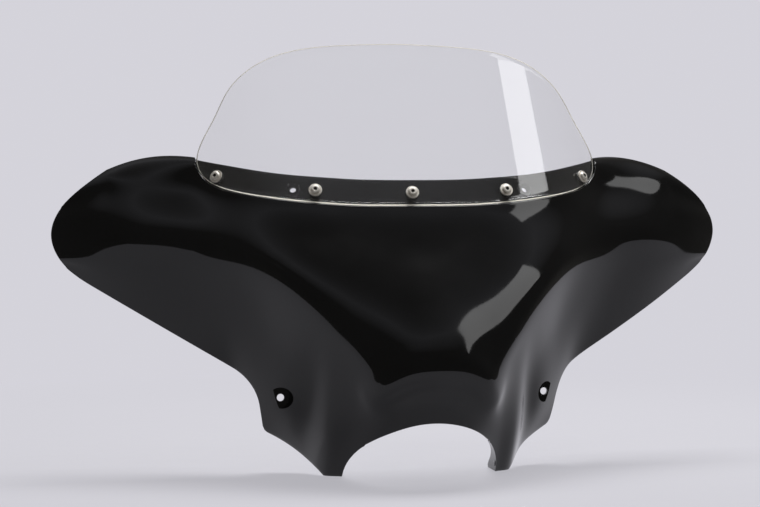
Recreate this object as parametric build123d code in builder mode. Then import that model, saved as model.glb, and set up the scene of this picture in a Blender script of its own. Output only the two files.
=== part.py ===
"""Handlebar fairing for a motorcycle: one moulded fibreglass shell and a screwed-on clear windshield.

Millimetres, +Z up, front of the fairing towards -Y. The origin lies midway between the two
bracket bolts of the lower wings, in the plane of the pocket floors they bear on.
"""

import math
import os

from build123d import *

os.makedirs("parts", exist_ok=True)

# Shell
wall = 4.0

# Windshield sheet: flat in the middle, bent to both sides, leaning back
screen_rake = 25.0
screen_flat_half = 85.0
screen_bend_radius = 250.0
screen_bend_angle = 33.0
screen_thickness = 3.0
screen_tail = 60.0
screen_half_width = 246.5
screen_drop = 16.0
screen_corner_up = 70.0
screen_height = 205.0
land_centre_y = 4.5
land_centre_z = 234.0

# Recessed land that carries the windshield
land_depth = 5.5
land_gap = 1.5
land_lap = 1.0
land_flange = 14.0
land_edge_up = 19.0
land_edge_rise = 62.0
land_edge_run = 7.5
land_edge_half_width = screen_half_width + land_edge_run

# Screws, washers and nuts of the windshield
screw_radius = 3.0
screw_head_radius = 5.5
screw_head_height = 3.3
screw_head_chamfer = 1.8
socket_flats_radius = 2.3
socket_depth = 2.0
screw_tip = 1.5
screw_clearance = 0.5
washer_radius = 7.9
washer_thickness = 1.4
rubber_radius = 8.0
rubber_thickness = 2.0
rubber_slack = 0.15
nut_corner_radius = 5.77
nut_height = 4.2
nut_collar_radius = 4.6
nut_collar_height = 1.8
nut_clearance = 0.2
thread_clearance = 0.1
outer_screw_inset = 24.5
outer_screw_drop = 27.0
inner_screw_x = 113.5
inner_screw_up = 4.0
outer_screw_x = screen_half_width - outer_screw_inset
outer_screw_up = screen_corner_up - outer_screw_drop
screw_places = [
    (-outer_screw_x, outer_screw_up),
    (-inner_screw_x, inner_screw_up),
    (0, 0),
    (inner_screw_x, inner_screw_up),
    (outer_screw_x, outer_screw_up),
]
spare_hole_radius = 3.75
spare_hole_places = [(-139.0, 9.0), (139.0, 9.0)]

# Lower wings: bracket bolts in round pockets
bolt_spacing = 314.0
bolt_hole_radius = 4.25
pocket_radius = 12.5

# Outline of the lower edge, seen from the front
foot_level = -90.0
arch_half_width = 90.0
arch_rise = 68.0
foot_width = 20.0
return_back = 10.0
return_foot = 6.0
return_top = -46.0
return_front = -70.0
notch_x = 174.0
notch_z = -42.0
notch_round = 12.0
leg_bow_x = 134.0
leg_bow_z = -66.5
waist_x = 184.0
waist_z = 17.0
waist_round = 60.0
wing_edge_x = 371.0
wing_edge_z = 128.5
tip_half_width = 419.0
tip_z = 191.0

rake = math.radians(screen_rake)
bend = math.radians(screen_bend_angle)
reach = 400.0

# Plane across the sheet's bend: local x sideways, local y to the rear, z up along the lean
bend_plane = Plane(
    origin=(0, land_centre_y, land_centre_z),
    x_dir=(1, 0, 0),
    z_dir=(0, math.sin(rake), math.cos(rake)),
)
# Plane flat against the land: local x sideways, local y up along the lean, z to the front
land_plane = Plane(
    origin=(0, land_centre_y, land_centre_z),
    x_dir=(1, 0, 0),
    z_dir=(0, -math.cos(rake), math.sin(rake)),
)


def bend_slope(x, out):
    """Angle of the bent sheet at the sideways place x, on the surface lying out mm before the land."""
    over = abs(x) - screen_flat_half
    radius = screen_bend_radius + out
    if over <= 0:
        return 0.0
    angle = math.asin(min(over / radius, math.sin(bend)))
    return math.copysign(angle, x)


def on_land(x, up, out=0.0):
    """Point of the surface lying out mm before the land, x sideways and up along the lean."""
    radius = screen_bend_radius + out
    angle = abs(bend_slope(x, out))
    past_bend = max(abs(x) - screen_flat_half - radius * math.sin(bend), 0.0)
    behind = screen_bend_radius - radius * math.cos(angle) + past_bend * math.tan(bend)
    return bend_plane.from_local_coords((x, behind, up))


def land_normal_plane(x, up):
    """Plane square to the land at a screw, with its z to the front."""
    angle = bend_slope(x, 0.0)
    front = land_plane.z_dir * math.cos(angle) + Vector(math.sin(angle), 0, 0)
    return Plane(origin=on_land(x, up), x_dir=(0, math.sin(rake), math.cos(rake)), z_dir=front)


def bent_band(front, back):
    """Closed section of a bent sheet between two distances before the land."""
    with BuildSketch(bend_plane.offset(-reach / 4)) as section:
        with BuildLine():
            ends = []
            for out in (front, back):
                radius = screen_bend_radius + out
                turn = (screen_flat_half, screen_bend_radius)
                start = (screen_flat_half, -out)
                middle = (
                    turn[0] + radius * math.sin(bend / 2),
                    turn[1] - radius * math.cos(bend / 2),
                )
                stop = (turn[0] + radius * math.sin(bend), turn[1] - radius * math.cos(bend))
                tail = (
                    stop[0] + screen_tail * math.cos(bend),
                    stop[1] + screen_tail * math.sin(bend),
                )
                Line((-start[0], start[1]), start)
                for side in (-1, 1):
                    ThreePointArc(
                        (side * start[0], start[1]),
                        (side * middle[0], middle[1]),
                        (side * stop[0], stop[1]),
                    )
                    Line((side * stop[0], stop[1]), (side * tail[0], tail[1]))
                ends.append(tail)
            for side in (-1, 1):
                Line((side * ends[0][0], ends[0][1]), (side * ends[1][0], ends[1][1]))
        make_face()
    return section.sketch


# Edge shapes as shares of the sheet's own width and height
screen_lower_shape = [(0, 0), (0.467, 0.058), (0.698, 0.227), (0.876, 0.471), (0.966, 0.721), (1, 1)]
screen_upper_shape = [(1, 0), (0.909, 0.403), (0.843, 0.632), (0.702, 0.838), (0.45, 0.949), (0, 1)]
land_edge_shape = [(0, 0), (0.433, 0.078), (0.61, 0.225), (0.787, 0.512), (1, 1)]


def screen_outline(grow=0.0):
    """Outline of the windshield, grown by a margin, on a plane well behind the land."""
    corner_run = (-0.1, 1)
    steps = 14
    with BuildSketch(land_plane.offset(-reach / 2)) as outline:
        with BuildLine():
            lower = Spline(
                *(
                    (x * screen_half_width, up * (screen_corner_up + screen_drop) - screen_drop)
                    for x, up in screen_lower_shape
                ),
                tangents=((1, 0), corner_run),
                mode=Mode.PRIVATE,
            )
            upper = Spline(
                *(
                    (x * screen_half_width, screen_corner_up + up * (screen_height - screen_corner_up))
                    for x, up in screen_upper_shape
                ),
                tangents=(corner_run, (-1, 0)),
                mode=Mode.PRIVATE,
            )
            for curve in (lower, upper):
                places = [step / steps for step in range(steps + 1)]
                Spline(
                    *(curve @ place + (curve % place).rotate(Axis.Z, -90) * grow for place in places),
                    tangents=(curve % 0, curve % 1),
                )
            mirror(about=Plane.YZ)
        make_face()
    return outline.sketch


def above_land_edge(drop=0.0):
    """Everything above the land's upper edge, or above a line dropped below it."""
    with BuildSketch(land_plane.offset(-reach / 2)) as region:
        with BuildLine():
            edge = Spline(
                *(
                    (x * land_edge_half_width, land_edge_up + up * land_edge_rise - drop)
                    for x, up in land_edge_shape
                ),
                tangents=((1, 0), (0.85, 0.53)),
            )
            Polyline(edge @ 1, (land_edge_half_width, reach), (0, reach))
            mirror(about=Plane.YZ)
        make_face()
    return region.sketch


# Skin guides: each line runs from the centre to the right wing tip, one point per rib
rim = [
    *(on_land(x, up, land_depth) for x, up in (
        (0, 20), (20, 20), (38, 20), (52, 20.5), (72, 21.5), (87, 22.5), (104, 24), (146, 31), (196, 49),
    )),
    (252, 94, 283.5), (305, 117, 284), (356, 115, 267.5), (402, 124, 244.5), (430, 141, 232.5),
]
rim_front = [
    *(on_land(x, up, land_depth) for x, up in (
        (0, 9), (20, 9), (38, 9), (52, 9.5), (72, 10.5), (88, 11.5), (104, 13), (147, 20), (197, 38),
    )),
    (252, 80, 276), (305, 103.5, 276), (356, 104, 260.5), (402, 115.5, 238.5), (430, 133, 226.5),
]
brow_top = [
    *(on_land(x, up, land_depth) for x, up in (
        (0, -25), (21, -25), (40, -25), (55, -24.5), (77, -23), (92, -21.5), (110, -19), (153, -8), (203, 13),
    )),
    (255, 71, 248), (307, 91, 253.5), (357, 95, 243), (402, 110, 225), (430, 130, 214),
]
brow_middle = [
    (0, -70, 148), (24, -70, 147), (46, -74, 141), (62, -74, 140), (86, -66, 146), (102, -59, 152),
    (120, -50, 160), (162, -23, 180), (210, 14, 201), (260, 43, 214), (312, 64, 218), (362, 81, 214),
    (402, 104, 209), (429, 125, 205),
]
brow_low = [
    (0, -126, 88), (29, -125, 86), (53, -122, 75), (67, -116, 78), (91, -100, 98), (106, -89, 113),
    (124, -74, 130), (165, -37, 161), (213, 5, 185), (263, 34, 195), (316, 55, 198), (366, 79, 196),
    (402, 103, 195), (428, 123, 194),
]
roll_top = [
    (0, -150, 46), (34, -147, 42), (57, -138, 31), (69, -128, 41), (91, -111, 69), (105, -99, 87),
    (123, -84, 108), (163, -48, 146), (214.5, 0, 172.5), (266, 31, 181.5), (320, 53, 183),
    (368.5, 80, 183), (402.5, 104, 183), (427, 124, 183),
]
roll_foot = [
    (0, -139, 22), (34, -136, 18), (65, -125, 6), (81, -111, 27), (101, -95, 56), (116, -83, 75),
    (133, -69, 95), (172, -34, 132), (219, 5, 157), (268, 36, 164), (320, 59, 164), (368, 85, 164),
    (402, 108, 166), (426, 127.5, 167),
]
panel_top = [
    (0, -131, 5), (34, -127, 1), (62, -113, -12), (84, -91, -7), (108, -70, 14), (123, -50, 24),
    (141, -36, 42), (174, -5, 78), (215, 24, 105), (260, 46, 120), (314, 64, 134), (366, 91, 147),
    (401, 113, 156), (425, 131, 158),
]
panel_low = [
    (0, -123, -12), (33, -120, -16), (59, -101, -30), (87, -66, -44), (110, -49, -40), (127, -22, -29),
    (145, -13, -16), (176, 13, 14), (209, 42, 52), (253, 57, 77), (309, 70, 103), (363, 98, 128),
    (400, 118, 146), (424.5, 135, 149),
]
below_edge = [
    (0, -114, -38), (32, -111, -42), (56, -92, -56), (89, -20, -100), (111, 4, -108), (128, 38, -98),
    (148, 60, -82), (180, 56, -60), (203, 66, -15), (243, 71, 20), (302, 80, 62), (359, 107, 100),
    (398, 126, 126), (424, 141, 132),
]
guides = [
    rim, rim_front, brow_top, brow_middle, brow_low, roll_top, roll_foot, panel_top, panel_low,
    below_edge,
]

# Each guide is a curve from tip to tip; ribs are drawn across the guides at even steps
rib_count = 41


def even_parameters(lines):
    """Curve parameters shared by all lines, from the mean distance between their points."""
    steps = [
        sum((line[place + 1] - line[place]).length for line in lines) ** 0.7
        for place in range(len(lines[0]) - 1)
    ]
    return [sum(steps[:place]) / sum(steps) for place in range(len(lines[0]))]


half_guides = [[Vector(*point) for point in guide] for guide in guides]
full_guides = [
    [Vector(-point.X, point.Y, point.Z) for point in guide[:0:-1]] + guide for guide in half_guides
]
guide_parameters = even_parameters(full_guides)
guide_curves = [Edge.make_spline(guide, parameters=guide_parameters) for guide in full_guides]
ribs = [
    [curve.position_at(rib / (rib_count - 1), PositionMode.PARAMETER) for curve in guide_curves]
    for rib in range(rib_count)
]


def loft_ribs(lines):
    """Smooth face through the ribs, all on the same curve parameters."""
    parameters = even_parameters(lines)
    return Shell.make_loft(
        [Wire([Edge.make_spline(line, parameters=parameters)]) for line in lines]
    ).face()


skin = loft_ribs(ribs)

# The inside of the wall follows the skin at the wall's thickness
inside_steps = 9
inward = math.copysign(wall, skin.normal_at(0.5, 0.5).Y)
inside_skin = loft_ribs([
    [
        skin.position_at(step / inside_steps, rib / (rib_count - 1))
        + skin.normal_at(step / inside_steps, rib / (rib_count - 1)) * inward
        for step in range(inside_steps + 1)
    ]
    for rib in range(rib_count)
])
wall_edges = [
    Face.make_surface_from_curves(
        edge, min(inside_skin.edges(), key=lambda other: (other.center() - edge.center()).length)
    )
    for edge in skin.edges()
]
skin_wall = Solid(Shell([skin, inside_skin, *wall_edges]))

# Trays, bosses and cutters of the shell
with BuildPart() as land_plate:
    extrude(bent_band(0, -wall), amount=reach)
    extrude(screen_outline(land_gap + wall / 2), amount=reach, mode=Mode.INTERSECT)

with BuildPart() as land_ring:
    extrude(bent_band(land_depth - land_lap, -wall), amount=reach)
    extrude(screen_outline(land_gap + wall), amount=reach, mode=Mode.INTERSECT)
    extrude(screen_outline(land_gap), amount=reach, mode=Mode.SUBTRACT)

with BuildPart() as land_lip:
    extrude(bent_band(0, -land_flange), amount=reach)
    extrude(screen_outline(land_gap + wall / 2), amount=reach, mode=Mode.INTERSECT)
    extrude(above_land_edge(wall), amount=reach, mode=Mode.INTERSECT)

with BuildPart() as land_moulding:
    add(land_plate.part)
    add(land_ring.part)
    add(land_lip.part)
    extrude(above_land_edge(), amount=reach, mode=Mode.SUBTRACT)

pocket_planes = [
    Plane(origin=(side * bolt_spacing / 2, 0, 0), x_dir=(1, 0, 0), z_dir=(0, -1, 0)) for side in (-1, 1)
]
with BuildPart() as pocket_bosses:
    extrude(skin, amount=reach / 4, dir=(0, 1, 0))
    with BuildSketch(*(plane.offset(-wall) for plane in pocket_planes)):
        Circle(pocket_radius + wall)
    extrude(amount=reach / 4, mode=Mode.INTERSECT)

# Webs that turn back from the arch at both feet
with BuildPart() as arch_returns:
    extrude(skin, amount=reach / 4, dir=(0, 1, 0))
    with BuildSketch(Plane.XZ.offset(-reach / 2)):
        with Locations((0, foot_level)):
            Ellipse(arch_half_width + wall, arch_rise + wall)
            Ellipse(arch_half_width - wall, arch_rise - wall, mode=Mode.SUBTRACT)
    extrude(amount=reach, mode=Mode.INTERSECT)
    with BuildSketch(Plane.YZ.offset(-reach / 2)):
        with BuildLine():
            Polyline(
                (-reach / 2, foot_level - wall),
                (return_back, foot_level - wall),
                (return_back, foot_level + return_foot),
                (return_front, return_top),
                (-reach / 2, return_top),
                close=True,
            )
        make_face()
    extrude(amount=reach, mode=Mode.INTERSECT)

screw_planes = [land_normal_plane(x, up) for x, up in screw_places]
spare_hole_planes = [land_normal_plane(x, up) for x, up in spare_hole_places]

# Fairing shell: one moulding with its land, pockets and holes
with BuildPart() as fairing_shell:
    add(skin_wall)
    add(arch_returns.part)
    with BuildSketch(Plane.XZ.offset(-reach / 2)):
        with BuildLine():
            arch = EllipticalCenterArc((0, foot_level), arch_half_width, arch_rise, arc_size=90)
            foot = Line(arch @ 0, (arch_half_width + foot_width, foot_level))
            leg = ThreePointArc(foot @ 1, (leg_bow_x, leg_bow_z), (notch_x, notch_z))
            edge = FilletPolyline(
                leg @ 1, (waist_x, waist_z), (wing_edge_x, wing_edge_z), radius=waist_round
            )
            tip = Spline(
                edge @ 1,
                (tip_half_width - 17, 152),
                (tip_half_width, tip_z),
                (tip_half_width - 10, 220),
                (380, 249),
                (335, 281),
                (290, 310),
                tangents=(edge % 1, (-0.84, 0.54)),
            )
            Polyline(tip @ 1, (290, reach), (0, reach))
            mirror(about=Plane.YZ)
        trim = make_face()
        fillet([corner for corner in trim.vertices() if abs(corner.Y - notch_z) < 0.1], notch_round)
    extrude(amount=reach, mode=Mode.INTERSECT)
    extrude(screen_outline(land_gap), amount=reach, mode=Mode.SUBTRACT)
    add(land_moulding.part)
    add(pocket_bosses.part)
    with BuildSketch(*pocket_planes):
        Circle(pocket_radius)
    extrude(amount=reach / 4, mode=Mode.SUBTRACT)
    with BuildSketch(*pocket_planes):
        Circle(bolt_hole_radius)
    extrude(amount=-2 * wall, mode=Mode.SUBTRACT)
    with BuildSketch(*screw_planes):
        Circle(screw_radius + screw_clearance)
    extrude(amount=2 * wall, both=True, mode=Mode.SUBTRACT)
    with BuildSketch(*spare_hole_planes):
        Circle(spare_hole_radius)
    extrude(amount=2 * wall, both=True, mode=Mode.SUBTRACT)
fairing_shell.part.label = "fairing_shell"
export_step(fairing_shell.part, "parts/fairing_shell.step")

# Windshield: clear sheet standing on the rubber washers
screen_front = rubber_thickness + screen_thickness
with BuildPart() as windshield:
    extrude(bent_band(screen_front, rubber_thickness), amount=reach)
    extrude(screen_outline(), amount=reach, mode=Mode.INTERSECT)
    with BuildSketch(*screw_planes):
        Circle(screw_radius + screw_clearance)
    extrude(amount=2 * screen_front, mode=Mode.SUBTRACT)
windshield.part.label = "windshield"
export_step(windshield.part, "parts/windshield.step")

# Rubber washers between sheet and land, with the slack that the bend takes up
with BuildPart() as rubber_washers:
    with BuildSketch(*(plane.offset(rubber_slack) for plane in screw_planes)):
        Circle(rubber_radius)
        Circle(screw_radius + screw_clearance, mode=Mode.SUBTRACT)
    extrude(amount=rubber_thickness - 2 * rubber_slack)
rubber_washers.part.label = "rubber_washers"
export_step(rubber_washers.part, "parts/rubber_washers.step")

# Steel washers on the front of the sheet
with BuildPart() as windshield_washers:
    with BuildSketch(*(plane.offset(screen_front) for plane in screw_planes)):
        Circle(washer_radius)
        Circle(screw_radius + screw_clearance, mode=Mode.SUBTRACT)
    extrude(amount=washer_thickness)
windshield_washers.part.label = "windshield_washers"
export_step(windshield_washers.part, "parts/windshield_washers.step")

# Button-head screws with a hexagon socket
head_seat = screen_front + washer_thickness
nut_seat = -wall - nut_clearance
screw_end = nut_seat - nut_height - nut_collar_height - screw_tip
with BuildPart() as screw_blank:
    with BuildSketch(Plane.XY.offset(screw_end)):
        Circle(screw_radius)
    extrude(amount=head_seat - screw_end)
    with BuildSketch(Plane.XY.offset(head_seat)):
        Circle(screw_head_radius)
    extrude(amount=screw_head_height)
    chamfer(screw_blank.edges().sort_by(Axis.Z)[-1], screw_head_chamfer)
    with BuildSketch(Plane.XY.offset(head_seat + screw_head_height)):
        RegularPolygon(socket_flats_radius, 6)
    extrude(amount=-socket_depth, mode=Mode.SUBTRACT)

with BuildPart() as windshield_screws:
    with Locations(*screw_planes):
        add(screw_blank.part)
windshield_screws.part.label = "windshield_screws"
export_step(windshield_screws.part, "parts/windshield_screws.step")

# Lock nuts behind the land
with BuildPart() as nut_blank:
    with BuildSketch(Plane.XY.offset(nut_seat)):
        RegularPolygon(nut_corner_radius, 6)
        Circle(screw_radius + thread_clearance, mode=Mode.SUBTRACT)
    extrude(amount=-nut_height)
    with BuildSketch(Plane.XY.offset(nut_seat - nut_height)):
        Circle(nut_collar_radius)
        Circle(screw_radius + thread_clearance, mode=Mode.SUBTRACT)
    extrude(amount=-nut_collar_height)

with BuildPart() as lock_nuts:
    with Locations(*screw_planes):
        add(nut_blank.part)
lock_nuts.part.label = "lock_nuts"
export_step(lock_nuts.part, "parts/lock_nuts.step")
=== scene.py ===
import math

import bmesh
import bpy
import numpy as np
from mathutils import Matrix, Vector


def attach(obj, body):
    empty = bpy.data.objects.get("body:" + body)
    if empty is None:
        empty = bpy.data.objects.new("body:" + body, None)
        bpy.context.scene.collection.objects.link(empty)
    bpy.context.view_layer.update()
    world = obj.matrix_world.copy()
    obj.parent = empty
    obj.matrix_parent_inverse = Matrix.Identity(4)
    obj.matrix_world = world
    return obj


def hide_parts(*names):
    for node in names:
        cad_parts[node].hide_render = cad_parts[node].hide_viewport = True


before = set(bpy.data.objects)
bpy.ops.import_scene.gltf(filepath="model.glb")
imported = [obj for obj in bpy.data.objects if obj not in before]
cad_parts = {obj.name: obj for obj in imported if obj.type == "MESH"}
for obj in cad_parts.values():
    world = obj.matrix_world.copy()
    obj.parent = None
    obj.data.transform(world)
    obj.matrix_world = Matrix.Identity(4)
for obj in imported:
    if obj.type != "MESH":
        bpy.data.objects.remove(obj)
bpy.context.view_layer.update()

# Fairing shell: one fibreglass moulding, gloss black gelcoat outside and bare laminate inside.
# The brow rolls over into the lower panels, and the windshield land is sunk into its upper edge
# and turned back there. Two round pockets in the lower wings take the bracket bolts.
mm = 0.001
wall = 4.0
land_rake = math.radians(25)
land_centre = np.array([0, 4.5, 234])
flat_half = 85.0
bend_radius = 250.0
bend_angle = math.radians(33)
land_depth = 5.5
land_gap = 1.5
land_flange = 14.0
lean = np.array([0, math.sin(land_rake), math.cos(land_rake)])
backwards = np.array([0, math.cos(land_rake), -math.sin(land_rake)])


def on_land(x, up, out):
    """Points lying out mm before the bent land, x sideways and up along its lean."""
    x, up, out = (np.asarray(value, float)[..., None] for value in np.broadcast_arrays(x, up, out))
    radius = bend_radius + out
    over = np.abs(x) - flat_half
    angle = np.arcsin(np.clip(over / radius, 0, math.sin(bend_angle)))
    past = np.maximum(over - radius * math.sin(bend_angle), 0)
    behind = bend_radius - radius * np.cos(angle) + past * math.tan(bend_angle)
    return land_centre + x * np.array([1, 0, 0]) + behind * backwards + up * lean


def on_brow(*places):
    """Points of the brow's upper edge, level with the sheet that lies in the land."""
    return [tuple(on_land(x, up, land_depth)) for x, up in places]


# The skin is drawn by ten lines from the centre to the right wing tip, from the rim downwards
guides = [
    [
        *on_brow((0, 20), (20, 20), (38, 20), (52, 20.5), (72, 21.5), (87, 22.5)),
        *on_brow((104, 24), (146, 31), (196, 49)),
        (252, 94, 283.5), (305, 117, 284), (356, 115, 267.5), (402, 124, 244.5), (430, 141, 232.5),
    ],
    [
        *on_brow((0, 9), (20, 9), (38, 9), (52, 9.5), (72, 10.5), (88, 11.5)),
        *on_brow((104, 13), (147, 20), (197, 38)),
        (252, 80, 276), (305, 103.5, 276), (356, 104, 260.5), (402, 115.5, 238.5), (430, 133, 226.5),
    ],
    [
        *on_brow((0, -25), (21, -25), (40, -25), (55, -24.5), (77, -23), (92, -21.5)),
        *on_brow((110, -19), (153, -8), (203, 13)),
        (255, 71, 248), (307, 91, 253.5), (357, 95, 243), (402, 110, 225), (430, 130, 214),
    ],
    [
        (0, -70, 148), (24, -70, 147), (46, -74, 141), (62, -74, 140), (86, -66, 146), (102, -59, 152),
        (120, -50, 160), (162, -23, 180), (210, 14, 201), (260, 43, 214), (312, 64, 218), (362, 81, 214),
        (402, 104, 209), (429, 125, 205),
    ],
    [
        (0, -126, 88), (29, -125, 86), (53, -122, 75), (67, -116, 78), (91, -100, 98), (106, -89, 113),
        (124, -74, 130), (165, -37, 161), (213, 5, 185), (263, 34, 195), (316, 55, 198), (366, 79, 196),
        (402, 103, 195), (428, 123, 194),
    ],
    [
        (0, -150, 46), (34, -147, 42), (57, -138, 31), (69, -128, 41), (91, -111, 69), (105, -99, 87),
        (123, -84, 108), (163, -48, 146), (214.5, 0, 172.5), (266, 31, 181.5), (320, 53, 183),
        (368.5, 80, 183), (402.5, 104, 183), (427, 124, 183),
    ],
    [
        (0, -139, 22), (34, -136, 18), (65, -125, 6), (81, -111, 27), (101, -95, 56), (116, -83, 75),
        (133, -69, 95), (172, -34, 132), (219, 5, 157), (268, 36, 164), (320, 59, 164), (368, 85, 164),
        (402, 108, 166), (426, 127.5, 167),
    ],
    [
        (0, -131, 5), (34, -127, 1), (62, -113, -12), (84, -91, -7), (108, -70, 14), (123, -50, 24),
        (141, -36, 42), (174, -5, 78), (215, 24, 105), (260, 46, 120), (314, 64, 134), (366, 91, 147),
        (401, 113, 156), (425, 131, 158),
    ],
    [
        (0, -123, -12), (33, -120, -16), (59, -101, -30), (87, -66, -44), (110, -49, -40), (127, -22, -29),
        (145, -13, -16), (176, 13, 14), (209, 42, 52), (253, 57, 77), (309, 70, 103), (363, 98, 128),
        (400, 118, 146), (424.5, 135, 149),
    ],
    [
        (0, -114, -38), (32, -111, -42), (56, -92, -56), (89, -20, -100), (111, 4, -108), (128, 38, -98),
        (148, 60, -82), (180, 56, -60), (203, 66, -15), (243, 71, 20), (302, 80, 62), (359, 107, 100),
        (398, 126, 126), (424, 141, 132),
    ],
]


def spline_weights(knots, places):
    """Share of each knot's point at the given places of a smooth curve through the knots."""
    count = len(knots)
    gaps = np.diff(knots)
    stiffness = np.eye(count)
    pull = np.zeros((count, count))
    for k in range(1, count - 1):
        stiffness[k, k - 1 : k + 2] = gaps[k - 1] / 6, (gaps[k - 1] + gaps[k]) / 3, gaps[k] / 6
        pull[k, k - 1 : k + 2] = 1 / gaps[k - 1], -1 / gaps[k - 1] - 1 / gaps[k], 1 / gaps[k]
    bending = np.linalg.solve(stiffness, pull)
    span = np.clip(np.searchsorted(knots, places, side="right") - 1, 0, count - 2)
    before = ((knots[span + 1] - places) / gaps[span])[:, None]
    after = 1 - before
    square = gaps[span][:, None] ** 2 / 6
    own = np.eye(count)
    straight = before * own[span] + after * own[span + 1]
    return straight + square * ((before**3 - before) * bending[span] + (after**3 - after) * bending[span + 1])


spacing_power = 0.7
rib_count = 41


def even_steps(lines):
    """Curve parameters shared by lines of points, from the distances between their points."""
    lengths = np.linalg.norm(np.diff(lines, axis=1), axis=2).sum(axis=0) ** spacing_power
    return np.concatenate([[0], np.cumsum(lengths)]) / lengths.sum()


right_guides = np.array(guides, float)
skin_guides = np.concatenate([right_guides[:, :0:-1] * (-1, 1, 1), right_guides], axis=1)
across_steps = even_steps(skin_guides)
rib_weights = spline_weights(across_steps, np.linspace(0, 1, rib_count))
rib_points = np.einsum("rp,gpc->rgc", rib_weights, skin_guides)
down_steps = even_steps(rib_points)


def skin(places):
    """Points of the outside skin at pairs of parameters: from tip to tip, and from the rim down."""
    across = spline_weights(across_steps, places[:, 0])
    down = spline_weights(down_steps, places[:, 1])
    return np.einsum("kp,gpc,kg->kc", across, skin_guides, down)


def from_front(points):
    return points[:, [0, 2]]


def square_to_land(points):
    return np.stack([points[:, 0], (points - land_centre) @ lean], axis=1)


def find_on_skin(targets, view):
    """Parameters of the skin's right half where a flat view shows the targets."""
    rounds = 25
    step = 1e-5
    longest_move = 0.02
    right_half = np.meshgrid(np.linspace(0.5, 1, 110), np.linspace(0, 1, 100))
    grid = np.stack(right_half, axis=-1).reshape(-1, 2)
    shown = view(skin(grid))
    places = np.array([grid[np.argmin(((shown - target) ** 2).sum(axis=1))] for target in targets])
    for _ in range(rounds):
        here = view(skin(places))
        slope = np.stack(
            [(view(skin(places + move)) - here) / step for move in ((step, 0), (0, step))], axis=2
        )
        move = np.linalg.solve(slope, (targets - here)[:, :, None])[:, :, 0]
        places = places + np.clip(move, -longest_move, longest_move)
    return places


def lengths_along(points):
    return np.concatenate([[0], np.cumsum(np.linalg.norm(np.diff(points, axis=0), axis=1))])


outline_step = 0.5


def smooth_line(points):
    """A smooth line through a few points, in short even steps."""
    points = np.array(points, float)
    knots = lengths_along(points)
    places = np.linspace(0, knots[-1], int(knots[-1] / outline_step) + 1)
    return spline_weights(knots, places) @ points


def even_line(points):
    """The same broken line in short even steps."""
    along = lengths_along(points)
    places = np.linspace(0, along[-1], int(along[-1] / outline_step) + 1)
    return np.stack([np.interp(places, along, points[:, k]) for k in range(points.shape[1])], axis=1)


def mirrored_tail(points, first):
    """The two points that carry a half outline smoothly over the centre line."""
    near = points[2:0:-1] if first else points[-2:-4:-1]
    return [(-x, up) for x, up in near]


# Outline of the windshield and of the recess that it lies in, square to the land
sheet_half = [
    (0, -16), (115.1, -11), (172.1, 3.5), (215.9, 24.5), (238.1, 46), (246.5, 70), (224.1, 124.4),
    (207.8, 155.3), (173, 183.1), (110.9, 198.1), (0, 205),
]
sheet_line = smooth_line(
    [*mirrored_tail(sheet_half, True), *sheet_half, *mirrored_tail(sheet_half, False)]
)
sheet_line = sheet_line[sheet_line[:, 0] >= -outline_step / 2]
run = np.gradient(sheet_line, axis=0)
sheet_outward = np.stack([run[:, 1], -run[:, 0]], axis=1) / np.linalg.norm(run, axis=1)[:, None]
recess_line = sheet_line + land_gap * sheet_outward
recess_line[:, 0] = np.maximum(recess_line[:, 0], 0)

# Upper edge of the land
land_edge_half = [(0, 19), (110, 23.8), (154.9, 33), (199.9, 50.7), (254, 81)]
land_edge = smooth_line([*mirrored_tail(land_edge_half, True), *land_edge_half])
land_edge = land_edge[land_edge[:, 0] >= 0]
land_edge[0, 0] = 0


def rounded_corner(before, corner, after, radius):
    """Arc that rounds a corner between two straight runs."""
    before, corner, after = (np.array(point, float) for point in (before, corner, after))
    back = (before - corner) / np.linalg.norm(before - corner)
    ahead = (after - corner) / np.linalg.norm(after - corner)
    half = math.acos(back @ ahead) / 2
    centre = corner + (back + ahead) / np.linalg.norm(back + ahead) * radius / math.sin(half)
    start = corner + back * radius / math.tan(half) - centre
    stop = corner + ahead * radius / math.tan(half) - centre
    turn = math.pi - 2 * half
    return np.array([
        centre + (math.sin((1 - s) * turn) * start + math.sin(s * turn) * stop) / math.sin(turn)
        for s in np.linspace(0, 1, 25)
    ])


def arc_through(first, middle, last):
    """Arc of a circle through three points."""
    a, b, c = (np.array(point, float) for point in (first, middle, last))
    sides = np.array([b - a, c - a])
    centre = a + np.linalg.solve(2 * sides, (sides**2).sum(axis=1))
    start, stop = (math.atan2(*(point - centre)[::-1]) for point in (a, c))
    turns = np.linspace(start, stop, 40)
    return centre + np.linalg.norm(a - centre) * np.stack([np.cos(turns), np.sin(turns)], axis=1)


# Lower edge of the right half, seen from the front: arch, foot, leg, waist and wing
foot_level = -90.0
arch_half_width = 90.0
arch_rise = 68.0
foot_end = (110.0, foot_level)
notch = (174.0, -42.0)
waist = (184.0, 17.0)
wing_edge_end = (371.0, 128.5)
tip_low = (402.0, 152.0)
tip_high = (409.0, 220.0)
notch_radius = 12
notch_gap = 9
waist_radius = 60
quarter = np.linspace(0, math.pi / 2, 90)
arch_line = np.stack([arch_half_width * np.sin(quarter), foot_level + arch_rise * np.cos(quarter)], axis=1)
leg_line = arc_through(foot_end, (134.0, -66.5), notch)
leg_line = leg_line[np.linalg.norm(leg_line - notch, axis=1) > notch_gap]
tip_line = smooth_line(
    [(340, 109.8), wing_edge_end, tip_low, (419, 191), tip_high, (380, 249), (335, 281), (290, 310)]
)
tip_ends = (wing_edge_end, tip_low, tip_high)
nearest = [np.argmin(np.linalg.norm(tip_line - end, axis=1)) for end in tip_ends]
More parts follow.
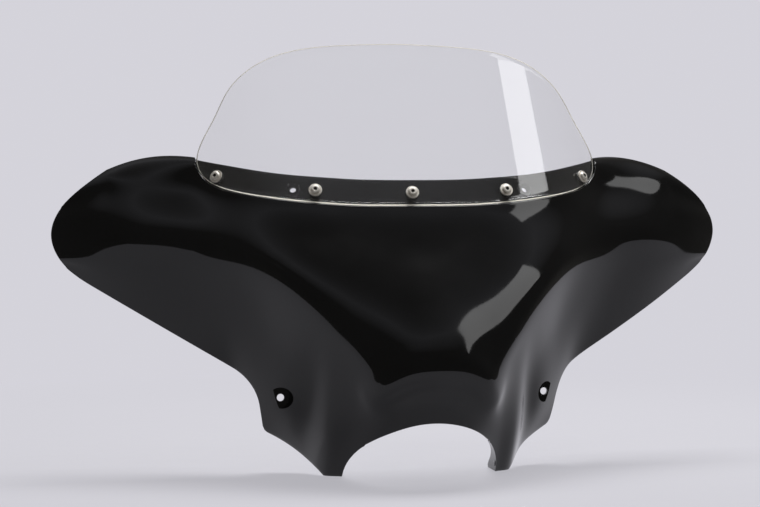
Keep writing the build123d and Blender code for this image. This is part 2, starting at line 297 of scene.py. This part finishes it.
lower_line = even_line(np.concatenate([
    arch_line,
    [foot_end],
    leg_line,
    rounded_corner(leg_line[-1], notch, waist, notch_radius),
    rounded_corner(notch, waist, wing_edge_end, waist_radius),
    tip_line[nearest[0] : nearest[1] + 1],
]))

# The same edges as parameters of the skin
recess_reach = 120
rim_count = 200
recess_places = find_on_skin(recess_line[recess_line[:, 1] < recess_reach], square_to_land)
recess_places = recess_places[: np.argmax(recess_places[:, 1] < 0)]
upper_tip_places = find_on_skin(tip_line[nearest[2] :][::-1], from_front)
upper_tip_places = upper_tip_places[np.argmax(upper_tip_places[:, 1] > 0) :]
rim_across = np.linspace(recess_places[-1, 0], upper_tip_places[0, 0], rim_count)
rim_places = np.stack([rim_across, np.zeros(rim_count)], axis=1)[1:-1]
upper_places = np.concatenate([recess_places, rim_places, upper_tip_places])
lower_places = find_on_skin(lower_line, from_front)
tip_places = find_on_skin(tip_line[nearest[1] : nearest[2] + 1][::-1], from_front)


def spread(places, keys, columns):
    """Places along an edge for the columns, with the key columns at the key lengths."""
    along = lengths_along(skin(places))
    stops = np.interp(np.arange(columns[-1] + 1), columns, [along[key] for key in keys])
    return np.stack([np.interp(stops, along, places[:, k]) for k in (0, 1)], axis=1)


def nearest_key(points, key):
    return int(np.argmin(np.linalg.norm(points - np.array(key), axis=1)))


columns = [0, 26, 33, 55, 77, 95, 127, 139]
rows = 84
tip_power = 8
recess_count = len(recess_places)
rim_end = recess_count + len(rim_places)
recess_stops = [(0, -17.5), (58, -16), (76, -15), (148, -6), (236, 40)]
lower_stops = [
    (0, foot_level + arch_rise), (arch_half_width, foot_level), foot_end, notch, (236, 48), (296, 85),
    wing_edge_end, tip_low,
]
upper_keys = [nearest_key(recess_line[:recess_count], stop) for stop in recess_stops]
upper_keys += [recess_count - 1, rim_end, len(upper_places) - 1]
lower_keys = [nearest_key(lower_line, stop) for stop in lower_stops]
top = spread(upper_places, upper_keys, columns)
bottom = spread(lower_places, lower_keys, columns)
tip = spread(tip_places, [0, len(tip_places) - 1], [0, rows])
fall = np.linspace(0, 1, rows + 1)[:, None, None]
near_tip = (np.linspace(0, 1, columns[-1] + 1) ** tip_power)[None, :, None]
straight_tip = (1 - fall) * top[-1] + fall * bottom[-1]
skin_places = (1 - fall) * top + fall * bottom + near_tip * (tip[:, None] - straight_tip)
skin_points = skin(skin_places.reshape(-1, 2)).reshape(rows + 1, -1, 3)


def thin_plate(points, slack):
    """Depths of a plate over the front view of a grid, bent little and held by springs of that slack."""
    every = 3
    right = points[::every, ::every].reshape(-1, 3)
    held = np.concatenate([right, right * (-1, 1, 1)])
    slack = np.tile(slack[::every, ::every].reshape(-1), 2)
    places = points.reshape(-1, 3)[:, ::2]
    sums = []
    for spots in (held[:, ::2], places):
        apart = np.linalg.norm(spots[:, None] - held[None, :, ::2], axis=2)
        sums.append(apart**2 * np.log(apart + 1e-9))
    flat = np.concatenate([np.ones((len(held), 1)), held[:, ::2]], axis=1)
    whole = np.block([[sums[0] + np.diag(slack), flat], [flat.T, np.zeros((3, 3))]])
    pulls = np.linalg.solve(whole, np.concatenate([held[:, 1], np.zeros(3)]))
    depths = sums[1] @ pulls[:-3] + pulls[-3] + places @ pulls[-2:]
    return depths.reshape(points.shape[:2])


def ramp(values, start, stop):
    """Share that grows evenly from 0 at start to 1 at stop."""
    return np.clip((values - start) / (stop - start), 0, 1)


def fair(points, firm, slack, share):
    """Moves a grid by a share of the way to a thin plate, which its firm places hold."""
    depths = thin_plate(points, np.where(firm, 1, slack))
    points[:, :, 1] += share * (depths - points[:, :, 1])


# The guides leave slight waves in the brow and in the lower wings, which a thin plate takes out.
# Levels count the guides from the rim downwards.
levels = np.interp(skin_places[:, :, 1], down_steps, np.arange(len(guides)))
column = np.arange(columns[-1] + 1)
tip_column = 125
firm_tip = column > tip_column
to_tip = ramp(column, tip_column + 6, tip_column - 2)

brow_low_level = 4.9
fold_level = 4.55
rim_level = 1.2
rim_rows = 4
brow_slack = 10 ** np.interp(column, [60, 95], [5.3, 4.0])
brow_end = int(np.argmax((levels > brow_low_level).all(axis=1)))
brow = levels[:brow_end]
firm = (brow > fold_level) | (brow < rim_level) | firm_tip | (np.arange(brow_end) < rim_rows)[:, None]
share = ramp(brow, 4.8, 4.3) * ramp(brow, 0.3, 1.1) * to_tip
fair(skin_points[:brow_end], firm, brow_slack, share)

wing_top_level = 5.6
panel_level = 6.5
wing_slack = 5e4
edge_levels = 0.05
firm_root = 8
root_columns = 10
in_wing = slice(columns[4], None)
wing_start = int(np.argmax((levels[:, in_wing] > wing_top_level).all(axis=1)))
wing = levels[wing_start:, in_wing]
past_root = column[in_wing] - columns[4]
firm = (wing < panel_level) | (past_root < firm_root) | firm_tip[in_wing] | (wing > wing[-1] - edge_levels)
share = ramp(wing, 6.1, 6.6) * ramp(past_root, 0, root_columns) * to_tip[in_wing]
fair(skin_points[wing_start:, in_wing], firm, wing_slack, share)

# The land goes on from the skin's upper edge: down the recess, along the land and back at its edge
land_top = 74
end_gap = 2
land_columns = 1 + int(np.argmax(square_to_land(skin_points[0])[:, 1] > land_top))
recess_corner = square_to_land(skin_points[0, :land_columns])
edge_along = lengths_along(land_edge)
edge_end = np.interp(recess_corner[-1, 0] - end_gap, land_edge[:, 0], edge_along)
edge_stops = lengths_along(recess_corner) / lengths_along(recess_corner)[-1] * edge_end
edge_corner = np.stack([np.interp(edge_stops, edge_along, land_edge[:, k]) for k in (0, 1)], axis=1)
land_rows = [skin_points[0, :land_columns]]
for share in np.linspace(0, 1, 8):
    land_rows.append(on_land(*((1 - share) * recess_corner + share * edge_corner).T, 0))
for share in (1 / 3, 2 / 3, 1):
    land_rows.append(on_land(*edge_corner.T, -share * land_flange))

# Webs that turn back from the arch at both feet
web_top = -48
least_depth = 0.5
web_columns = [k for k in range(columns[1] + 1) if skin_points[-1, k, 2] < web_top]
arch_edge = skin_points[-1, web_columns]
web_back = np.interp(arch_edge[:, 2], [-84, -46], [10, -70])
web_depth = np.maximum(web_back - arch_edge[:, 1], least_depth)
web_reach = np.array([0, 1, 0]) * web_depth[:, None]
web_rows = [arch_edge + share * web_reach for share in np.linspace(0, 1, 9)]


def add_sheet(shape, places):
    """Adds a grid of faces with its corners at rows of places, given in millimetres."""
    down, over = places.shape[0] - 1, places.shape[1] - 1
    for vert in bmesh.ops.create_grid(shape, x_segments=over, y_segments=down, size=0.5)["verts"]:
        vert.co = places[round((0.5 - vert.co.y) * down), round((vert.co.x + 0.5) * over)] * mm


sharp_corner = math.radians(35)


def piece(shape, name, *materials):
    """Object of a finished bmesh with its materials, smooth faces and sharp corners."""
    mesh = bpy.data.meshes.new(name)
    shape.to_mesh(mesh)
    shape.free()
    for material in materials:
        mesh.materials.append(material)
    mesh.polygons.foreach_set("use_smooth", [True] * len(mesh.polygons))
    mesh.set_sharp_from_angle(angle=sharp_corner)
    made = bpy.data.objects.new(name, mesh)
    bpy.context.scene.collection.objects.link(made)
    return made


def turn_to_front(form):
    """Turns the faces of an open form so that its foremost one looks to the front."""
    bmesh.ops.recalc_face_normals(form, faces=form.faces[:])
    if min(form.faces, key=lambda face: face.calc_center_median().y).normal.y > 0:
        bmesh.ops.reverse_faces(form, faces=form.faces[:])


shell_corner = math.radians(40)
shell_rounding = 1.2
shell_form = bmesh.new()
add_sheet(shell_form, skin_points)
add_sheet(shell_form, np.array(land_rows))
add_sheet(shell_form, np.array(web_rows))
bmesh.ops.remove_doubles(shell_form, verts=shell_form.verts[:], dist=0.01 * mm)
whole = shell_form.verts[:] + shell_form.edges[:] + shell_form.faces[:]
bmesh.ops.mirror(shell_form, geom=whole, matrix=Matrix.Identity(4), merge_dist=0.05 * mm, axis="X")
turn_to_front(shell_form)
outside = set(shell_form.faces)
bmesh.ops.solidify(shell_form, geom=shell_form.faces[:], thickness=wall * mm)
outside_corners = {vert for face in outside for vert in face.verts}
for face in shell_form.faces:
    face.material_index = 0 if outside_corners.intersection(face.verts) else 1
sharp = [edge for edge in shell_form.edges if edge.calc_face_angle(0) > shell_corner]
bmesh.ops.bevel(
    shell_form, geom=sharp, offset=shell_rounding * mm, segments=3, profile=0.5, affect="EDGES", material=-1
)


def start_material(name, values):
    """A material with its even values set on its shader, and that shader."""
    material = bpy.data.materials.new(name)
    material.use_nodes = True
    shader = material.node_tree.nodes["Principled BSDF"]
    for socket, value in values.items():
        shader.inputs[socket].default_value = value
    return material, shader


def add_node(material, kind, values=None, **settings):
    """A node of that kind with its settings and with values or links on its inputs."""
    tree = material.node_tree
    node = tree.nodes.new(kind)
    for setting, value in settings.items():
        setattr(node, setting, value)
    for socket, value in (values or {}).items():
        if isinstance(value, bpy.types.NodeSocket):
            tree.links.new(value, node.inputs[socket])
        else:
            node.inputs[socket].default_value = value
    return node


def add_noise(material, scale, detail=2.0, roughness=0.5, stretch=None):
    """Noise over the piece's own coordinates, with a scale per metre."""
    place = add_node(material, "ShaderNodeTexCoord").outputs["Object"]
    if stretch:
        values = {"Vector": place, "Scale": stretch}
        place = add_node(material, "ShaderNodeMapping", values).outputs["Vector"]
    values = {"Vector": place, "Scale": scale, "Detail": detail, "Roughness": roughness}
    return add_node(material, "ShaderNodeTexNoise", values).outputs["Fac"]


def add_range(material, source, low, high, to_low, to_high):
    values = {"Value": source, "From Min": low, "From Max": high, "To Min": to_low, "To Max": to_high}
    return add_node(material, "ShaderNodeMapRange", values).outputs["Result"]


def add_math(material, operation, *values):
    return add_node(material, "ShaderNodeMath", dict(enumerate(values)), operation=operation).outputs[0]


def add_mix(material, share, first, second):
    mix = add_node(material, "ShaderNodeMix", data_type="RGBA")
    for socket, value in (("Factor", share), ("A", first), ("B", second)):
        slots = [s for s in mix.inputs if s.name == socket and s.enabled]
        if isinstance(value, bpy.types.NodeSocket):
            material.node_tree.links.new(value, slots[0])
        else:
            slots[0].default_value = value
    return [s for s in mix.outputs if s.enabled][0]


def add_bump(material, shader, height, strength, distance):
    values = {"Height": height, "Strength": strength, "Distance": distance}
    bump = add_node(material, "ShaderNodeBump", values)
    material.node_tree.links.new(bump.outputs["Normal"], shader.inputs["Normal"])


gelcoat, shader = start_material("black_gelcoat", {"IOR": 1.43})
links = gelcoat.node_tree.links
depth = add_range(gelcoat, add_noise(gelcoat, 14, 3), 0.35, 0.7, 0, 1)
tone = add_mix(gelcoat, depth, (0.0025, 0.0025, 0.0028, 1), (0.0045, 0.0045, 0.005, 1))
dust = add_range(gelcoat, add_noise(gelcoat, 900, 1), 0.72, 0.8, 0, 0.35)
tone = add_mix(gelcoat, dust, tone, (0.05, 0.05, 0.052, 1))
haze = add_range(gelcoat, add_noise(gelcoat, 9, 5, 0.6), 0.4, 0.75, 0.05, 0.12)
add_bump(gelcoat, shader, add_noise(gelcoat, 120, 1), 0.05, 0.3 * mm)
# Both spare holes have scuffed rings round them, as wide as a washer
spare_holes = [(-139, 9), (139, 9)]
scuff_radius = 8.6
scuff_half_width = 1.1
place = add_node(gelcoat, "ShaderNodeTexCoord").outputs["Object"]
scuff = add_range(gelcoat, add_noise(gelcoat, 450, 4, 0.7), 0.5, 0.62, 0, 1)
for x, up in spare_holes:
    ends = {0: place, 1: tuple(on_land(x, up, 0) * mm)}
    away = add_node(gelcoat, "ShaderNodeVectorMath", ends, operation="DISTANCE").outputs["Value"]
    ring = add_math(gelcoat, "COMPARE", away, scuff_radius * mm, scuff_half_width * mm)
    ring = add_math(gelcoat, "MULTIPLY", ring, scuff)
    tone = add_mix(gelcoat, ring, tone, (0.11, 0.11, 0.11, 1))
    haze = add_math(gelcoat, "MULTIPLY_ADD", ring, 0.3, haze)
links.new(tone, shader.inputs["Base Color"])
links.new(haze, shader.inputs["Roughness"])

laminate, shader = start_material("black_laminate", {"IOR": 1.5})
links = laminate.node_tree.links
strands = [add_noise(laminate, 60, 4, 0.6, stretch) for stretch in ((1, 9, 2), (9, 2, 1), (2, 1, 9))]
weave = add_math(laminate, "MAXIMUM", strands[0], strands[1])
weave = add_math(laminate, "MAXIMUM", weave, strands[2])
raised = add_range(laminate, weave, 0.5, 0.75, 0, 1)
tone = add_mix(laminate, raised, (0.008, 0.008, 0.009, 1), (0.02, 0.02, 0.021, 1))
links.new(tone, shader.inputs["Base Color"])
links.new(add_range(laminate, weave, 0.45, 0.75, 0.35, 0.6), shader.inputs["Roughness"])
add_bump(laminate, shader, weave, 0.5, 0.8 * mm)

fairing_shell = piece(shell_form, "fairing_shell_moulding", gelcoat, laminate)


def combine(base, tool, operation):
    """Joins a tool to a piece or cuts it out, and removes the tool and its empty material slot."""
    change = base.modifiers.new("Combine", "BOOLEAN")
    change.operation = operation
    change.solver = "MANIFOLD"
    change.object = tool
    made = bpy.data.meshes.new_from_object(base.evaluated_get(bpy.context.evaluated_depsgraph_get()))
    while made.materials and made.materials[-1] is None:
        made.materials.pop()
    base.modifiers.clear()
    base.data = made
    bpy.data.objects.remove(tool)


def add_round(shape, seat, radius, back, front):
    """Adds a cylinder along a seat's z, between two distances in millimetres."""
    middle = Matrix.Translation((0, 0, (back + front) / 2 * mm))
    bmesh.ops.create_cone(
        shape, cap_ends=True, segments=64, radius1=radius * mm, radius2=radius * mm,
        depth=(front - back) * mm, matrix=seat @ middle,
    )


def land_seat(x, up):
    """Frame square to the land at a place on it: z to the front, x up along the lean."""
    sine = min(max((abs(x) - flat_half) / bend_radius, 0), math.sin(bend_angle))
    angle = math.copysign(math.asin(sine), x)
    front = Vector(-backwards * math.cos(angle) + np.array([math.sin(angle), 0, 0]))
    upward = Vector(lean)
    axes = Matrix((upward, front.cross(upward), front)).transposed().to_4x4()
    return Matrix.Translation(Vector(on_land(x, up, 0) * mm)) @ axes


pocket_radius = 12.5
pocket_reach = 60
patch_half = 25
patch_count = 26
front_of_all = -200
bolt_half_spacing = 157.0
bolt_hole_radius = 4.25
screw_places = [(-222, 43), (-113.5, 4), (0, 0), (113.5, 4), (222, 43)]
screw_hole_radius = 3.5
spare_hole_radius = 3.75
boss_form = bmesh.new()
front_form = bmesh.new()
pocket_form = bmesh.new()
hole_form = bmesh.new()
patch_steps = np.linspace(-patch_half, patch_half, patch_count)
patch = np.stack(np.meshgrid(bolt_half_spacing + patch_steps, patch_steps[::-1]), axis=-1)
patch_points = skin(find_on_skin(patch.reshape(-1, 2), from_front)).reshape(patch_count, patch_count, 3)
mid_wall = patch_points + (0, wall / 2, 0)
facing_front = Matrix.Rotation(math.pi / 2, 4, "X")
for side in (-1, 1):
    pocket_seat = Matrix.Translation((side * bolt_half_spacing * mm, 0, 0)) @ facing_front
    add_round(boss_form, pocket_seat, pocket_radius + wall, -wall, pocket_reach)
    add_sheet(front_form, mid_wall * (side, 1, 1))
    add_round(pocket_form, pocket_seat, pocket_radius, 0, pocket_reach)
    add_round(hole_form, pocket_seat, bolt_hole_radius, -5 * wall, 5 * wall)
for x, up in screw_places:
    add_round(hole_form, land_seat(x, up), screw_hole_radius, -2 * wall, wall)
for x, up in spare_holes:
    add_round(hole_form, land_seat(x, up), spare_hole_radius, -2 * wall, wall)
forward = bmesh.ops.extrude_face_region(front_form, geom=front_form.faces[:])["geom"]
for vert in (part for part in forward if isinstance(part, bmesh.types.BMVert)):
    vert.co.y = front_of_all * mm
bmesh.ops.recalc_face_normals(front_form, faces=front_form.faces[:])
bosses = piece(boss_form, "bosses")
combine(bosses, piece(front_form, "before_the_wall"), "DIFFERENCE")
combine(fairing_shell, bosses, "UNION")
combine(fairing_shell, piece(pocket_form, "pockets"), "DIFFERENCE")
combine(fairing_shell, piece(hole_form, "holes"), "DIFFERENCE")
fairing_shell.data.set_sharp_from_angle(angle=sharp_corner)
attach(fairing_shell, "root")
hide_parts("fairing_shell")

# Windshield: clear polycarbonate sheet, bent at both sides, with a pale sawn edge.
# It stands off the land on rubber washers and is held by five screws.
sheet_back = 2.0
sheet_thickness = 3.0
sheet_columns = 161
sheet_row_count = 25
sheet_corner = math.radians(50)
sheet_rounding = 0.5
sheet_front = sheet_back + sheet_thickness
widest = int(np.argmax(sheet_line[:, 0]))
half_width = sheet_line[widest, 0]
sheet_across = np.sin(np.linspace(-math.pi / 2, math.pi / 2, sheet_columns)) * half_width
low = np.interp(np.abs(sheet_across), sheet_line[: widest + 1, 0], sheet_line[: widest + 1, 1])
high = np.interp(np.abs(sheet_across), sheet_line[widest:, 0][::-1], sheet_line[widest:, 1][::-1])
sheet_rows = [
    on_land(sheet_across, low + (high - low) * share, sheet_front)
    for share in np.linspace(1, 0, sheet_row_count)
]
sheet_form = bmesh.new()
add_sheet(sheet_form, np.array(sheet_rows))
bmesh.ops.remove_doubles(sheet_form, verts=sheet_form.verts[:], dist=0.01 * mm)
turn_to_front(sheet_form)
front_faces = set(sheet_form.faces)
bmesh.ops.solidify(sheet_form, geom=sheet_form.faces[:], thickness=sheet_thickness * mm)
front_corners = {vert for face in front_faces for vert in face.verts}
for face in sheet_form.faces:
    touching = sum(vert in front_corners for vert in face.verts)
    face.material_index = 0 if touching in (0, len(face.verts)) else 1
sharp = [edge for edge in sheet_form.edges if edge.calc_face_angle(0) > sheet_corner]
rounded = bmesh.ops.bevel(
    sheet_form, geom=sharp, offset=sheet_rounding * mm, segments=2, profile=0.5, affect="EDGES", material=-1
)
for face in rounded["faces"]:
    face.material_index = 1


def add_shader_mix(material, share, first, second):
    return add_node(material, "ShaderNodeMixShader", {0: share, 1: first, 2: second}).outputs["Shader"]


def set_surface(material, source):
    tree = material.node_tree
    tree.links.new(source, tree.nodes["Material Output"].inputs["Surface"])


clear, shader = start_material(
    "clear_polycarbonate", {"Transmission Weight": 1, "IOR": 1.5, "Base Color": (0.99, 0.992, 0.992, 1)}
)
links = clear.node_tree.links
wiped = add_noise(clear, 6, 5, 0.65, (1, 1, 3))
links.new(add_range(clear, wiped, 0.45, 0.8, 0.0, 0.03), shader.inputs["Roughness"])
dust = add_node(clear, "ShaderNodeBsdfDiffuse", {"Color": (0.8, 0.8, 0.83, 1)}).outputs["BSDF"]
dusty = add_range(clear, wiped, 0.3, 0.75, 0.003, 0.014)
dull = add_shader_mix(clear, dusty, shader.outputs["BSDF"], dust)
ray = add_node(clear, "ShaderNodeLightPath").outputs["Is Shadow Ray"]
open_way = add_node(clear, "ShaderNodeBsdfTransparent", {"Color": (0.93, 0.935, 0.935, 1)}).outputs["BSDF"]
set_surface(clear, add_shader_mix(clear, ray, dull, open_way))

# Light inside the sheet comes out at its sawn edge, so the edge glows a little
piped_share = 0.6
sawn_edge, shader = start_material("sawn_polycarbonate", {"IOR": 1.5, "Roughness": 0.45})
links = sawn_edge.node_tree.links
marks = add_noise(sawn_edge, 500, 2, 0.5, (1, 1, 0.3))
tone = add_mix(sawn_edge, marks, (0.78, 0.74, 0.66, 1), (0.92, 0.90, 0.85, 1))
links.new(tone, shader.inputs["Base Color"])
add_bump(sawn_edge, shader, marks, 0.3, 0.1 * mm)
piped = add_node(sawn_edge, "ShaderNodeBsdfTranslucent", {"Color": (0.93, 0.89, 0.80, 1)}).outputs["BSDF"]
set_surface(sawn_edge, add_shader_mix(sawn_edge, piped_share, shader.outputs["BSDF"], piped))
windshield = piece(sheet_form, "windshield_sheet", clear, sawn_edge)
hole_form = bmesh.new()
for x, up in screw_places:
    add_round(hole_form, land_seat(x, up), screw_hole_radius, 0, 2 * sheet_front)
combine(windshield, piece(hole_form, "holes"), "DIFFERENCE")
windshield.data.set_sharp_from_angle(angle=sharp_corner)
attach(windshield, "root")
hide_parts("windshield")

# Rubber washers: soft spacers punched from sheet, between the windshield and the land.
# Each is squeezed a little by its screw, so its rim is rounded.
screw_seats = [land_seat(x, up) for x, up in screw_places]


def turned(name, materials, profile, loop, shaped, hollow=0.0):
    """A profile of radii and heights spun at every screw; shaped gives the radius at each angle.

    Faces within the hollow's radius in the front half take the second material.
    """
    form = bmesh.new()
    for seat in screw_seats:
        before = set(form.verts)
        line = [form.verts.new((radius * mm, 0, height * mm)) for radius, height in profile]
        ends = zip(line, line[1:] + line[:1]) if loop else zip(line, line[1:])
        edges = [form.edges.new(pair) for pair in ends]
        bmesh.ops.spin(
            form, geom=line + edges, cent=(0, 0, 0), axis=(0, 0, 1), dvec=(0, 0, 0),
            angle=2 * math.pi, steps=48, use_merge=True, use_duplicate=False,
        )
        spun = set(form.verts) - before
        for face in {face for vert in spun for face in vert.link_faces}:
            inside = all(vert.co.z > 0 and vert.co.xy.length < hollow * mm for vert in face.verts)
            face.material_index = 1 if inside else 0
        for vert in spun:
            radius = math.hypot(vert.co.x, vert.co.y) / mm
            angle = math.atan2(vert.co.y, vert.co.x)
            size = shaped(radius, angle) * mm
            vert.co = seat @ Vector((size * math.cos(angle), size * math.sin(angle), vert.co.z))
    bmesh.ops.remove_doubles(form, verts=form.verts[:], dist=0.001 * mm)
    bmesh.ops.recalc_face_normals(form, faces=form.faces[:])
    return piece(form, name, *materials)


def round_all_over(radius, angle):
    return radius


def hexagon_radius(flats, angle):
    """Radius of a hexagon with that distance from its centre to its flats."""
    return flats / math.cos(angle % (math.pi / 3) - math.pi / 6)


rubber, shader = start_material("black_rubber", {})
links = rubber.node_tree.links
grain = add_noise(rubber, 800, 3)
tone = add_mix(rubber, grain, (0.012, 0.012, 0.012, 1), (0.03, 0.03, 0.03, 1))
links.new(tone, shader.inputs["Base Color"])
links.new(add_range(rubber, grain, 0.3, 0.7, 0.65, 0.85), shader.inputs["Roughness"])
rubber_line = [(3.5, 0.15), (7.6, 0.15), (7.9, 0.4), (8.0, 1.0), (7.9, 1.6), (7.6, 1.85), (3.5, 1.85)]
rubber_washers = turned("rubber_washer_set", [rubber], rubber_line, True, round_all_over)
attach(rubber_washers, "root")
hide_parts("rubber_washers")

# Steel washers: stamped from bright stainless sheet, on the front of the windshield under each head.
# Stamping leaves their outer edge rounded.
steel, shader = start_material("stainless_steel", {"Metallic": 0.65})
links = steel.node_tree.links
grain = add_noise(steel, 900, 3)
stain = add_range(steel, add_noise(steel, 220, 4, 0.6), 0.5, 0.75, 0, 0.6)
bright = add_mix(steel, grain, (0.90, 0.85, 0.77, 1), (0.96, 0.93, 0.87, 1))
links.new(add_mix(steel, stain, bright, (0.46, 0.39, 0.31, 1)), shader.inputs["Base Color"])
links.new(add_range(steel, grain, 0.3, 0.7, 0.42, 0.6), shader.inputs["Roughness"])
add_bump(steel, shader, grain, 0.2, 0.05 * mm)
washer_line = [
    (3.5, 5), (7.3, 5), (7.6, 5), (7.82, 5.1), (7.9, 5.35), (7.9, 6.0), (7.8, 6.28), (7.55, 6.4), (7.3, 6.4),
    (4.0, 6.4), (3.7, 6.4), (3.5, 6.2),
]
steel_washers = turned("steel_washer_set", [steel], washer_line, True, round_all_over)
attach(steel_washers, "root")
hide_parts("windshield_washers")

# Screws: stainless button heads with a hexagon socket, cold headed with a rolled thread.
# They go through washers, windshield and land into the lock nuts.
socket_flats = 2.0
head_line = [(0, 6.9), (socket_flats, 7.4), (socket_flats, 9.2), (2.4, 9.4), (2.6, 9.4), (3.2, 9.4)]
head_line += [
    (3.2 + 2.3 * math.sin(turn), 7.5 + 1.9 * math.cos(turn)) for turn in np.linspace(0.2, math.pi / 2, 9)
]
head_line += [(5.5, 7.2), (5.5, 6.7), (5.25, 6.4), (3.0, 6.4)]
thread_line = [(3.0 if step % 2 else 2.62, -0.5 * step) for step in range(23)]
screw_line = [*head_line, *thread_line, (2.3, -11.7), (0, -11.7)]


def socketed(radius, angle):
    return hexagon_radius(socket_flats, angle) if abs(radius - socket_flats) < 0.01 else radius


# Painted shade: the inside of each hexagon socket is coloured dark and mottled, for the shade that falls in
# the recess
socket_shade, shader = start_material("socket_painted_shade", {"Metallic": 0.6, "Roughness": 0.7})
links = socket_shade.node_tree.links
socket_mottle = add_noise(socket_shade, 900, 4)
tone = add_mix(socket_shade, socket_mottle, (0.02, 0.018, 0.016, 1), (0.16, 0.14, 0.12, 1))
links.new(tone, shader.inputs["Base Color"])
add_bump(socket_shade, shader, socket_mottle, 0.4, 0.1 * mm)
painted_shade_radius = 1.1 * socket_flats
screws = turned("button_head_screw_set", [steel, socket_shade], screw_line, False, socketed, painted_shade_radius)
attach(screws, "root")
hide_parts("windshield_screws")

# Lock nuts: zinc-plated hexagon nuts with a collar for the locking ring, behind the land.
# Their corners are turned off at both ends.
zinc, shader = start_material("zinc_steel", {"Metallic": 1})
links = zinc.node_tree.links
grain = add_noise(zinc, 500, 3)
tone = add_mix(zinc, grain, (0.50, 0.51, 0.53, 1), (0.66, 0.66, 0.67, 1))
links.new(tone, shader.inputs["Base Color"])
links.new(add_range(zinc, grain, 0.3, 0.7, 0.3, 0.5), shader.inputs["Roughness"])
nut_flats = 5.0
nut_line = [
    (3.1, -4.3), (3.3, -4.2), (5.0, -4.2), (5.75, -4.6), (5.75, -8.0), (5.0, -8.4), (4.6, -8.45), (4.6, -9.6),
    (4.3, -10.05), (3.7, -10.2), (3.1, -10.2),
]


def six_sided(radius, angle):
    return min(radius, hexagon_radius(nut_flats, angle))


nuts = turned("lock_nut_set", [zinc], nut_line, True, six_sided)
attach(nuts, "root")
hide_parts("lock_nuts")

# Floor: pale cloth spread under the fairing and far behind it. It lies in a grey room with a pale wall
# at the back and a pale cove under the ceiling. A soft lamp hangs overhead, and a bright window
# stands to the upper right.
pale_wall = (0.66, 0.652, 0.705, 1)
grey_room = (0.11, 0.106, 0.10, 1)
pale_cove = (0.34, 0.34, 0.36, 1)
cloth_left = -0.86
cloth_right = 1.1
cloth_front = -0.32
cloth_back = 6.0
floor_form = bmesh.new()
bmesh.ops.create_grid(floor_form, x_segments=1, y_segments=1, size=1)
for vert in floor_form.verts:
    across = cloth_left if vert.co.x < 0 else cloth_right
    vert.co = (across, cloth_front if vert.co.y < 0 else cloth_back, foot_level * mm)
cloth, shader = start_material("pale_cloth", {"Roughness": 0.9, "Specular IOR Level": 0.2})
# Painted shade: the cloth's colour is a little lighter or darker in broad soft patches, like the shade of its
# folds
fold_shade = add_noise(cloth, 3, 3)
tone = add_mix(cloth, fold_shade, (0.63, 0.625, 0.665, 1), (0.67, 0.665, 0.70, 1))
cloth.node_tree.links.new(tone, shader.inputs["Base Color"])
add_bump(cloth, shader, add_noise(cloth, 5, 3, 0.5, (1, 2.5, 1)), 0.25, 12 * mm)
place = add_node(cloth, "ShaderNodeTexCoord").outputs["Object"]
away = add_node(cloth, "ShaderNodeVectorMath", {0: place}, operation="LENGTH").outputs["Value"]
far = add_range(cloth, away, 0.4, 1.5, 0.65, 1)
ray = add_node(cloth, "ShaderNodeLightPath").outputs
seen = add_math(cloth, "MAXIMUM", ray["Is Camera Ray"], ray["Is Glossy Ray"])
seen = add_math(cloth, "MAXIMUM", seen, ray["Is Transmission Ray"])
far = add_math(cloth, "MULTIPLY", far, seen)
glow = add_node(cloth, "ShaderNodeEmission", {"Color": pale_wall}).outputs["Emission"]
set_surface(cloth, add_shader_mix(cloth, far, shader.outputs["BSDF"], glow))
floor = piece(floor_form, "floor", cloth)

room = bpy.data.worlds.new("room")
room.use_nodes = True
bpy.context.scene.world = room
heading = add_node(room, "ShaderNodeTexCoord").outputs["Generated"]
heading = add_node(room, "ShaderNodeSeparateXYZ", {0: heading}).outputs
at_back = add_range(room, heading["Y"], 0.72, 0.88, 0, 1)
not_high = add_range(room, heading["Z"], 0.35, 0.6, 1, 0)
pale = add_math(room, "MULTIPLY", at_back, not_high)
above_walls = add_range(room, heading["Z"], 0.70, 0.88, 0, 1)
below_ceiling = add_range(room, heading["Z"], 0.88, 0.99, 1, 0)
cove = add_math(room, "MULTIPLY", above_walls, below_ceiling)
walls = add_mix(room, cove, grey_room, pale_cove)
room.node_tree.links.new(
    add_mix(room, pale, walls, pale_wall), room.node_tree.nodes["Background"].inputs["Color"]
)


def add_lamp(name, place, target, width, height, power):
    """Soft rectangular lamp at a place, turned to a target."""
    data = bpy.data.lights.new(name, "AREA")
    data.shape = "RECTANGLE"
    data.size = width
    data.size_y = height
    data.energy = power
    lamp = bpy.data.objects.new(name, data)
    beam = (Vector(target) - Vector(place)).to_track_quat("-Z", "Y").to_matrix().to_4x4()
    lamp.matrix_world = Matrix.Translation(place) @ beam
    bpy.context.scene.collection.objects.link(lamp)


add_lamp("overhead", (0.5, 0.65, 2.5), (0.5, 0.65, 0), 1.8, 1.2, 70)
add_lamp("window", (1.9, -0.98, 2.75), (0, -0.98, 2.75), 0.85, 2.3, 15.5)

# Camera: level with the middle of the fairing, two metres before it and ten degrees to its left.
# It is rolled by half a degree, and its focal length is given in widths of the picture.
camera_turn = math.radians(10)
camera_roll = math.radians(0.5)
camera_distance = 2
sensor_width = 36
focal_share = 1522.6 / 760
camera_data = bpy.data.cameras.new("camera")
camera_data.sensor_width = sensor_width
camera_data.lens = sensor_width * focal_share
camera = bpy.data.objects.new("camera", camera_data)
aim = Vector((0, 0.2217, 0.165))
ahead = Vector((math.sin(camera_turn), math.cos(camera_turn), 0))
camera.matrix_world = (
    Matrix.Translation(aim - camera_distance * ahead)
    @ Matrix.Rotation(-camera_turn, 4, "Z")
    @ Matrix.Rotation(math.pi / 2, 4, "X")
    @ Matrix.Rotation(-camera_roll, 4, "Z")
)
bpy.context.scene.collection.objects.link(camera)
bpy.context.scene.camera = camera
bpy.context.scene.view_settings.view_transform = "Standard"
